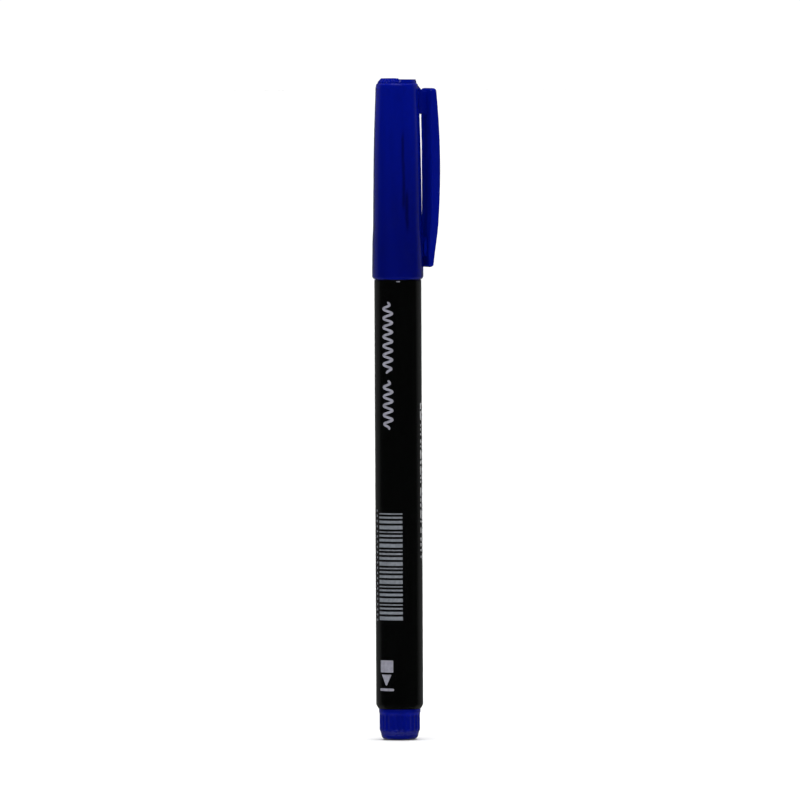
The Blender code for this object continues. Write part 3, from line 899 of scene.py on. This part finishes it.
def make_side_prints():
    """Lines of short dashes on the barrel's right side, standing for fine print."""
    dice = random.Random(7)
    high, low = 71.0, 38.5
    shape = bmesh.new()
    for across in (6.05, 7.05, 8.05, 9.05):
        z = high
        while z > low:
            length = dice.choice((0.5, 0.8, 1.3, 1.9))
            add_stroke(shape, *round_ended((across, z), (across, z - length), 0.42, 5))
            z -= length + dice.choice((0.35, 0.5, 0.9))
    finish_print("print_side_dashes", shape, WHITE_INK)


def make_tick_print():
    """A short grey tick at the top of the barrel, just under the cap's mouth."""
    left, right, height, width = -0.35, 0.45, 96.68, 0.2
    path = [(across, height) for across in spaced(left, right, 6)]
    shape = bmesh.new()
    add_stroke(shape, path, [width] * len(path))
    finish_print("print_top_tick", shape, GREY_INK)


# Stage


def make_floor():
    """A wide round sheet just under the end plug."""
    level, sides = -0.02, 96
    rings = []
    for radius in (0, 300, 3000, 14000):
        angles = [math.tau * i / sides for i in range(sides)]
        rings.append([(radius * math.cos(a), radius * math.sin(a), level) for a in angles])
    shape = bmesh.new()
    add_skin(shape, rings)
    floor = finish_mesh("floor", shape, paper_floor())
    floor.visible_glossy = False


def facing(azimuth, elevation):
    """The direction from the pen to a camera or light at that azimuth and elevation."""
    level = math.cos(elevation)
    return Vector((math.sin(azimuth) * level, -math.cos(azimuth) * level, math.sin(elevation)))


def area_light(name, power, width, height, azimuth, elevation, distance=1.3):
    """A soft box aimed at the pen's middle; its angles say where it stands, as for the camera."""
    light = bpy.data.lights.new(name, "AREA")
    light.shape = "RECTANGLE"
    light.size, light.size_y = width, height
    light.energy = power
    obj = linked(name, light)
    back = facing(math.radians(azimuth), math.radians(elevation))
    obj.location = Vector((0, 0, 0.07)) + back * distance
    obj.rotation_mode = "QUATERNION"
    obj.rotation_quaternion = back.to_track_quat("Z", "Y")


def make_lights():
    """A soft box above the camera, and light from straight above as from a wide diffuser."""
    area_light("softbox_front", power=5, width=1.2, height=0.8, azimuth=-25, elevation=48)
    diffuser = bpy.data.lights.new("skylight", "SUN")
    diffuser.energy = 3.9
    diffuser.angle = math.radians(50)
    linked("skylight", diffuser).visible_glossy = False


def make_world():
    """The pen reflects a dim room that is paler behind it, except straight behind.

    The camera sees plain white.
    """
    world = bpy.data.worlds.new("studio")
    bpy.context.scene.world = world
    world.use_nodes = True
    nodes, links = world.node_tree.nodes, world.node_tree.links
    room = nodes["Background"]
    direction = nodes.new("ShaderNodeTexCoord").outputs["Generated"]
    toward = nodes.new("ShaderNodeVectorMath")
    toward.operation = "DOT_PRODUCT"
    links.new(direction, toward.inputs[0])
    toward.inputs[1].default_value = -facing(CAMERA_AZIMUTH, 0)
    ramp = nodes.new("ShaderNodeValToRGB").color_ramp
    stops = ((0.0, 0.02), (0.54, 0.02), (0.68, 0.13), (0.9, 0.16), (0.985, 0.04))
    while len(ramp.elements) < len(stops):
        ramp.elements.new(0.5)
    for element, (position, level) in zip(ramp.elements, stops):
        element.position = position
        element.color = (level, level, level, 1.0)
    spread = nodes.new("ShaderNodeMapRange")
    spread.inputs["From Min"].default_value = -1.0
    links.new(toward.outputs["Value"], spread.inputs["Value"])
    ramp_node = nodes["Color Ramp"]
    links.new(spread.outputs["Result"], ramp_node.inputs["Fac"])
    links.new(ramp_node.outputs["Color"], room.inputs["Color"])
    paper = nodes.new("ShaderNodeBackground")
    paper.inputs["Color"].default_value = (1.0, 1.0, 1.0, 1.0)
    paper.inputs["Strength"].default_value = 1.05
    seen = nodes.new("ShaderNodeLightPath").outputs["Is Camera Ray"]
    choice = nodes.new("ShaderNodeMixShader")
    links.new(seen, choice.inputs["Fac"])
    links.new(room.outputs[0], choice.inputs[1])
    links.new(paper.outputs[0], choice.inputs[2])
    links.new(choice.outputs[0], nodes["World Output"].inputs["Surface"])


def make_camera():
    """The camera stands in front and a little above, and looks at the pen's middle."""
    elevation, distance, lens = math.radians(2), 2.6, 555.2
    aim_height, aim_right, roll = 71.61 * MM, 0.35 * MM, math.radians(-0.26)
    back = facing(CAMERA_AZIMUTH, elevation)
    data = bpy.data.cameras.new("camera")
    data.lens = lens
    data.clip_start, data.clip_end = 0.05, 20
    camera = linked("camera", data)
    turn = back.to_track_quat("Z", "Y") @ Quaternion((0, 0, 1), roll)
    right = turn @ Vector((1, 0, 0))
    camera.rotation_mode = "QUATERNION"
    camera.rotation_quaternion = turn
    camera.location = Vector((0, 0, aim_height)) + right * aim_right + back * distance
    bpy.context.scene.camera = camera
    bpy.context.scene.view_settings.view_transform = "Standard"


# Build


CAP_BLUE = (0.0002, 0.0043, 0.208)
# Painted shade: the cap's blue darkened, used towards its mouth
MOUTH_SHADE_BLUE = (0.0002, 0.0026, 0.125)
BLUE_CAP = gloss_plastic(
    "cap_blue_gloss", CAP_BLUE, 0.05,
    # Painted highlight with real wear: the top and mouth rims are lifted lighter and rougher
    rubbed_lit_heights=((CAP_TOP - 0.2, 0.5, 0.22), (MOUTH + 0.2, 0.6, 0.12)),
    # Painted shade: darker from the mouth, fading out near the top
    painted_shade=(MOUTH_SHADE_BLUE, 103.0, 136.0),
    # Painted shade: two thin dark lines just right of the cap's front
    shade_streaks=((math.radians(-96), 110.0, 130.0, 0.6), (math.radians(-88), 105.5, 117.5, 0.75)),
)
BLUE_CLIP = gloss_plastic(
    "clip_blue_gloss", CAP_BLUE, 0.05,
    rubbed_lit_heights=((CLIP_CREST, 0.8, 0.14), (CLIP_FOOT, 0.9, 0.16)),
)
# Painted light: a brighter blue than the cap's, making up for the light the cap keeps off the clip's inner
# faces and grip pad
BLUE_INSIDE_PAINTED_LIGHT = matt_inside("clip_blue_matt_painted_light", (0.0004, 0.009, 0.34))
BLUE_PLUG = gloss_plastic(
    "plug_blue_gloss", CAP_BLUE, 0.06,
    rubbed_lit_heights=((1.45, 1.0, 0.34), (FLUTES_HIGH, 0.5, 0.1)),
)
BLUE_INSERT = gloss_plastic(
    "insert_blue_gloss", CAP_BLUE, 0.07,
    rubbed_lit_heights=((INSERT_HIGH.z, 0.5, 0.14),),
)
GREY_INK = printed_ink("ink_grey", (0.3, 0.3, 0.36))
PALE_INK = printed_ink("ink_pale", (0.21, 0.23, 0.26))
WHITE_INK = printed_ink("ink_white", (0.6, 0.6, 0.62))

make_barrel()
make_end_plug()
make_front_section()
make_nib()
paint_inner_nodes()
make_cap_shell()
make_clip_bridge()
make_clip()
make_clip_pad()
make_end_insert()
make_cap_liner()
make_wave_print()
make_stripe_print()
make_dot_print()
make_tip_print()
make_side_prints()
make_tick_print()
make_floor()
make_lights()
make_world()
make_camera()
